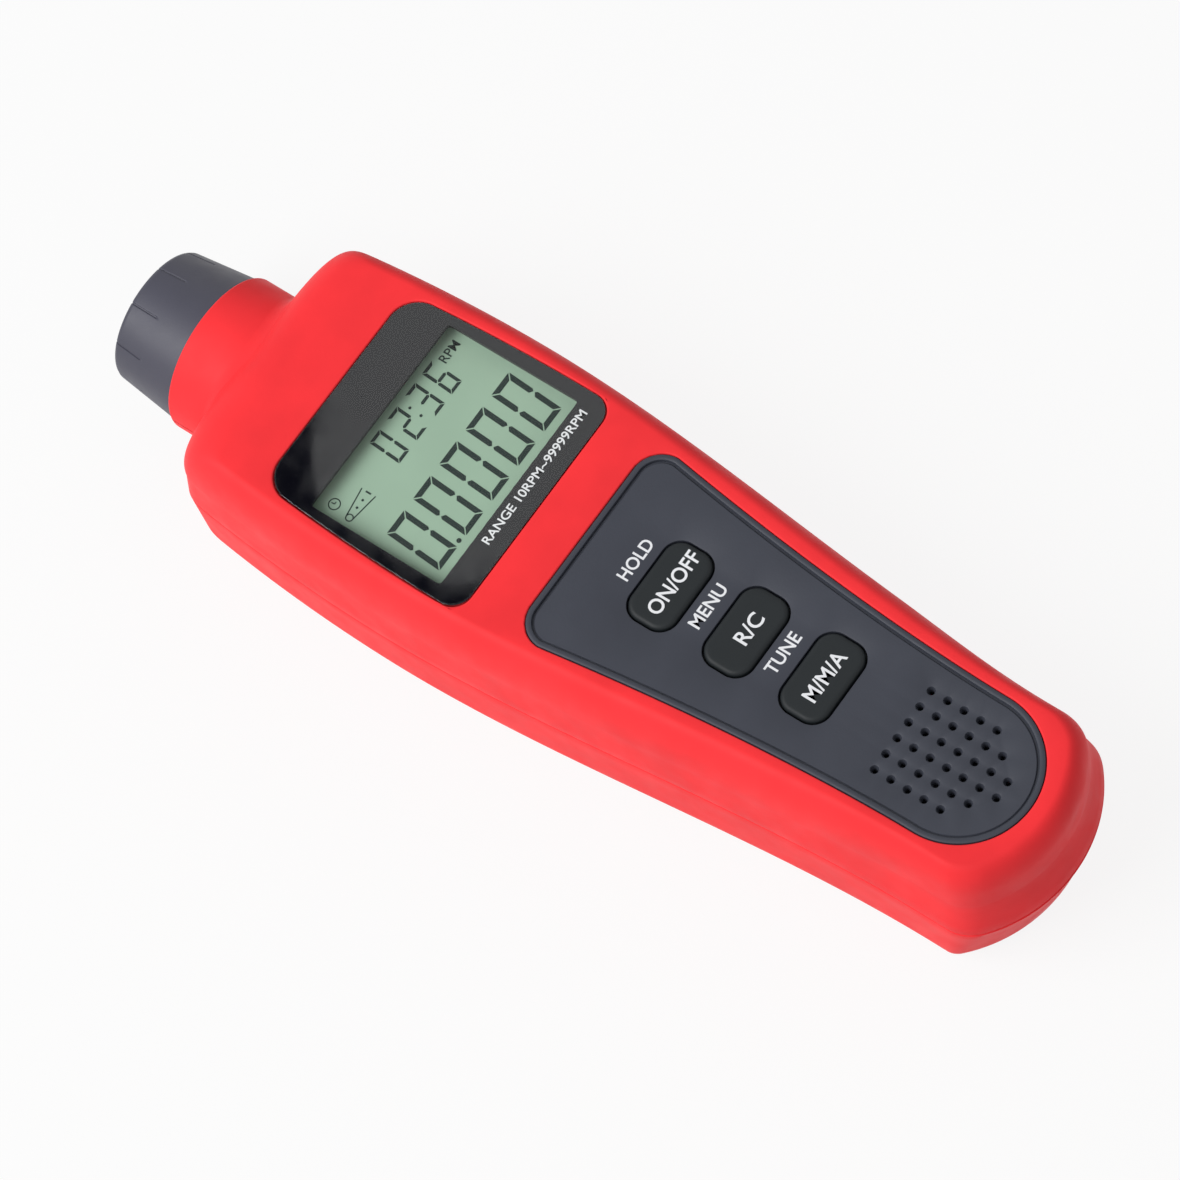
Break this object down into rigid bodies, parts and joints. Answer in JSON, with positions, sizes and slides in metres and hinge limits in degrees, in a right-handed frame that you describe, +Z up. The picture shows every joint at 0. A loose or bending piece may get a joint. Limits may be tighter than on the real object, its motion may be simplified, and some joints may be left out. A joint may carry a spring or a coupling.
{
  "type": "laser tachometer",
  "caption": "Handheld laser tachometer: moulded case with a tapered optics barrel, a display window, press keys and a sounder grille.",
  "frame": {"origin": "centre of the object's box on the flat back that it rests on", "axes": "+X to the right as the display is read, +Y towards the barrel, +Z up out of the display"},
  "size_m": [0.0516, 0.1782, 0.0341],
  "materials": {
    "red_case": "satin moulded red",
    "barrel_black": "satin black",
    "clear_lens": "clear",
    "window_black": "glossy clear plate, black print",
    "lcd_glass": "grey-green liquid crystal",
    "frame_white": "matt white",
    "contact_rubber": "soft grey",
    "board_green": "solder mask",
    "panel_charcoal": "fine matt charcoal",
    "key_black": "soft matt black",
    "switch_grey": "matt grey",
    "screw_steel": "plated steel",
    "laser_brass": "turned",
    "diode_dark": "dark moulded",
    "cell_jacket": "printed jacket"
  },
  "bodies": {
    "case": {"upper_shell": "red_case", "lower_shell": "red_case", "battery_door": "red_case", "barrel": "barrel_black", "lens_retainer": "barrel_black", "optics_holder": "barrel_black", "buzzer": "barrel_black", "front_lens": "clear_lens", "receiver_lens": "clear_lens", "display_window": "window_black", "lcd_panel": "lcd_glass", "lcd_frame": "frame_white", "zebra_strips": "contact_rubber", "main_board": "board_green", "sensor_board": "board_green", "keypad_panel": "panel_charcoal", "tact_switches": "switch_grey", "door_screw": "screw_steel", "case_screws": "screw_steel", "board_screws": "screw_steel", "contact_plates": "screw_steel", "contact_springs": "screw_steel", "laser_module": "laser_brass", "photodiode": "diode_dark", "battery_cells": "cell_jacket"},
    "power_button": {"power_key": "key_black", "power_plunger": "switch_grey"},
    "menu_button": {"menu_key": "key_black", "menu_plunger": "switch_grey"},
    "tune_button": {"tune_key": "key_black", "tune_plunger": "switch_grey"}
  },
  "joints": [
    {"name": "power_press", "type": "slide", "parent": "case", "child": "power_button", "axis": [0, 0, -1], "range_m": [0, 0.0005], "stiffness_N_per_m": 3000},
    {"name": "menu_press", "type": "slide", "parent": "case", "child": "menu_button", "axis": [0, 0, -1], "range_m": [0, 0.0005], "stiffness_N_per_m": 3000},
    {"name": "tune_press", "type": "slide", "parent": "case", "child": "tune_button", "axis": [0, 0, -1], "range_m": [0, 0.0005], "stiffness_N_per_m": 3000}
  ]
}
